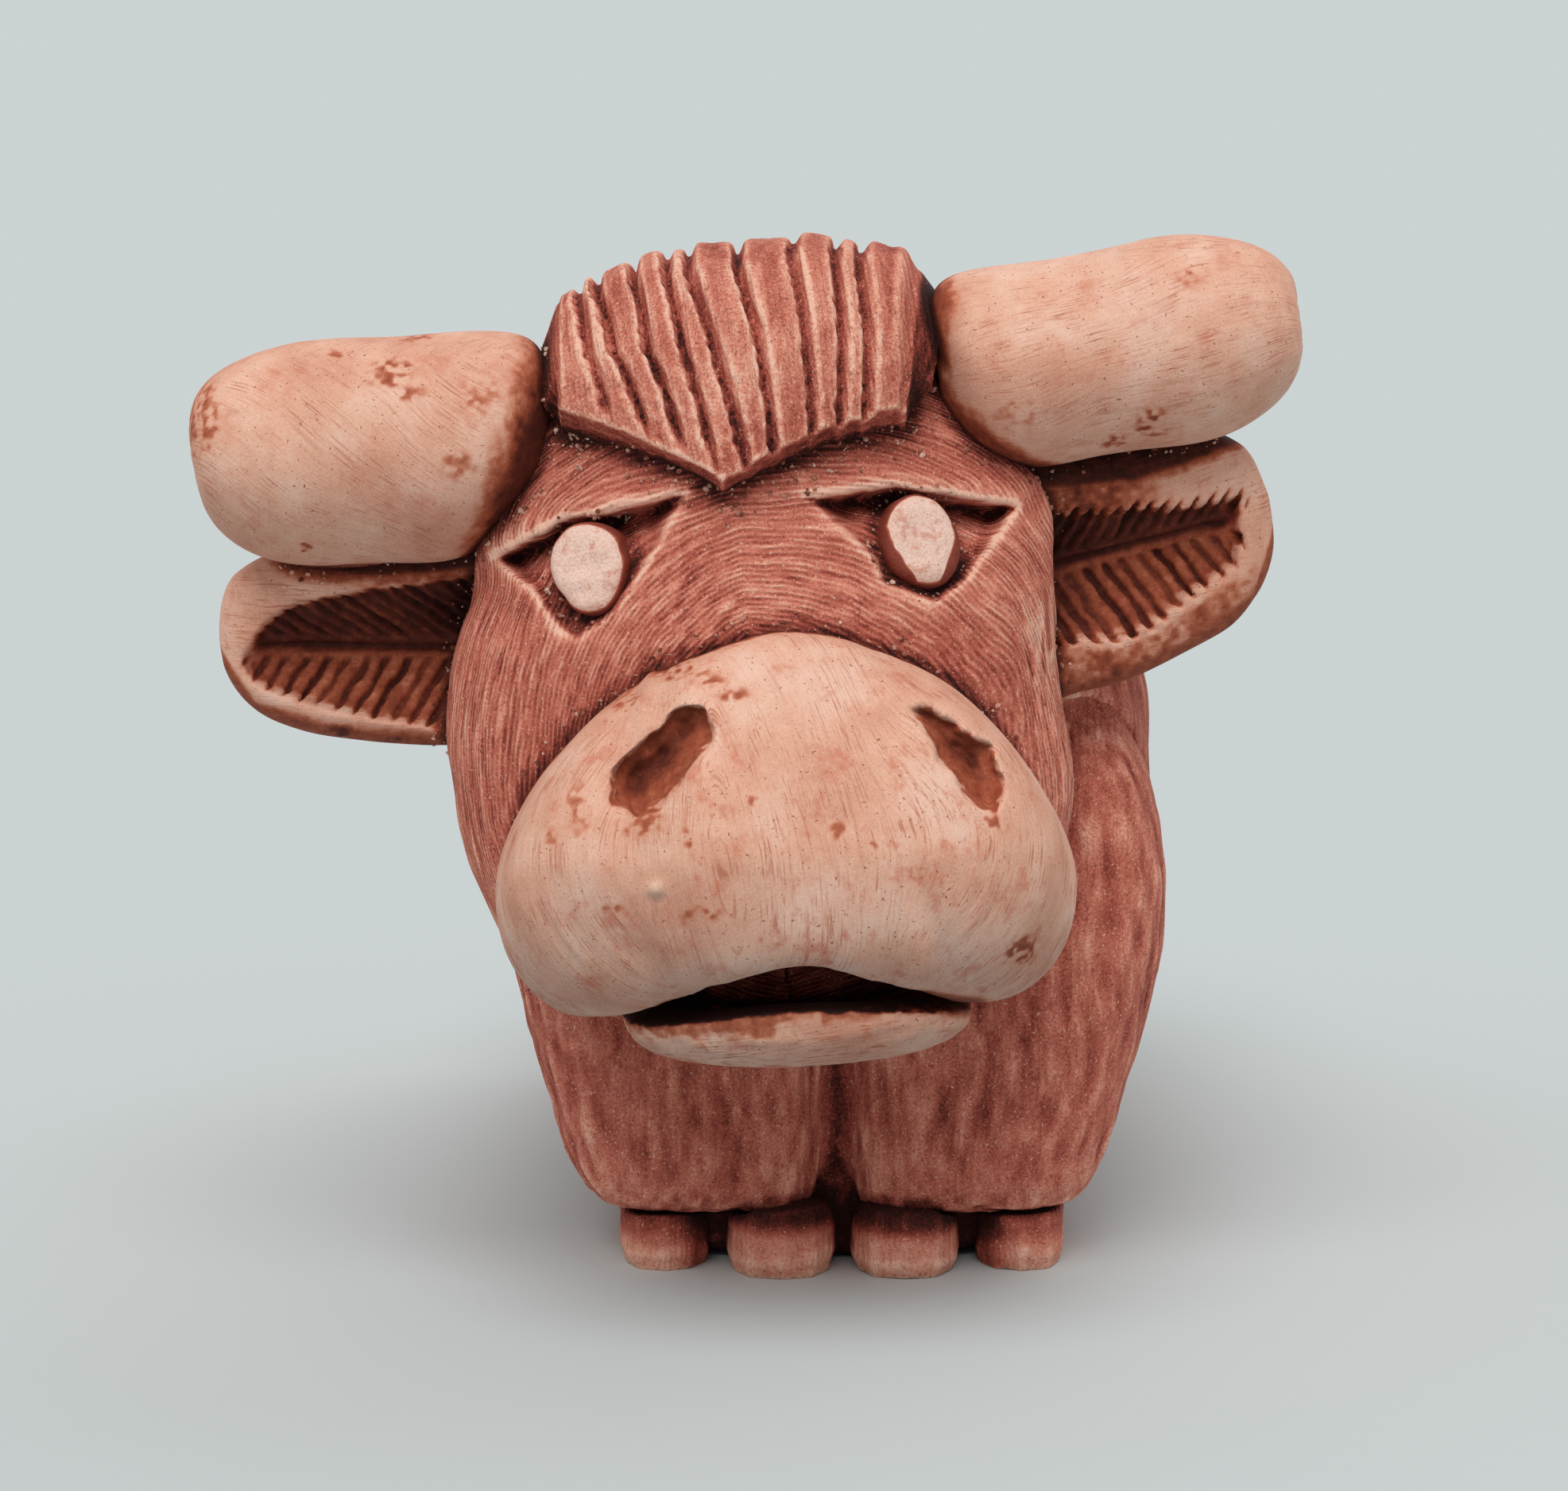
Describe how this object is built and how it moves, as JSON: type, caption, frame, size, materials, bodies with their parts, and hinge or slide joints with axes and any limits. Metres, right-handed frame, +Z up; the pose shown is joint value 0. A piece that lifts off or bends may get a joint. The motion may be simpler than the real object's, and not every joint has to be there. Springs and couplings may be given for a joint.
{
  "type": "bull figurine",
  "caption": "Small hand-carved unglazed clay bull, standing, with a broad smooth muzzle, blunt horns, leaf-shaped ears and a combed forelock; a shelf ornament.",
  "frame": {"origin": "on the ground, under the centre of the figure's bounding box", "axes": "+Z up; the bull faces -Y; +X is to the right of a viewer who looks at its face"},
  "size_m": [0.085, 0.1158, 0.0839],
  "materials": {
    "russet_clay": "unglazed, matt, carved, with a red-brown stain rubbed into the strokes",
    "buff_clay": "unglazed, smoothed by hand, with specks and streaks of red-brown stain",
    "pale_clay": "unglazed, smooth and wiped clean of stain"
  },
  "bodies": {
    "root": {"torso": "russet_clay", "head": "russet_clay", "forelock": "russet_clay", "muzzle": "buff_clay", "lower_lip": "buff_clay", "horn_left": "buff_clay", "horn_right": "buff_clay", "ear_left": "buff_clay", "ear_right": "buff_clay", "eye_left": "pale_clay", "eye_right": "pale_clay", "leg_front_left": "russet_clay", "leg_front_right": "russet_clay", "leg_rear_left": "russet_clay", "leg_rear_right": "russet_clay", "toe_front_left_inner": "russet_clay", "toe_front_left_outer": "russet_clay", "toe_front_right_inner": "russet_clay", "toe_front_right_outer": "russet_clay", "toe_rear_left_inner": "russet_clay", "toe_rear_left_outer": "russet_clay", "toe_rear_right_inner": "russet_clay", "toe_rear_right_outer": "russet_clay", "tail": "russet_clay", "tail_tuft": "russet_clay"}
  },
  "joints": []
}
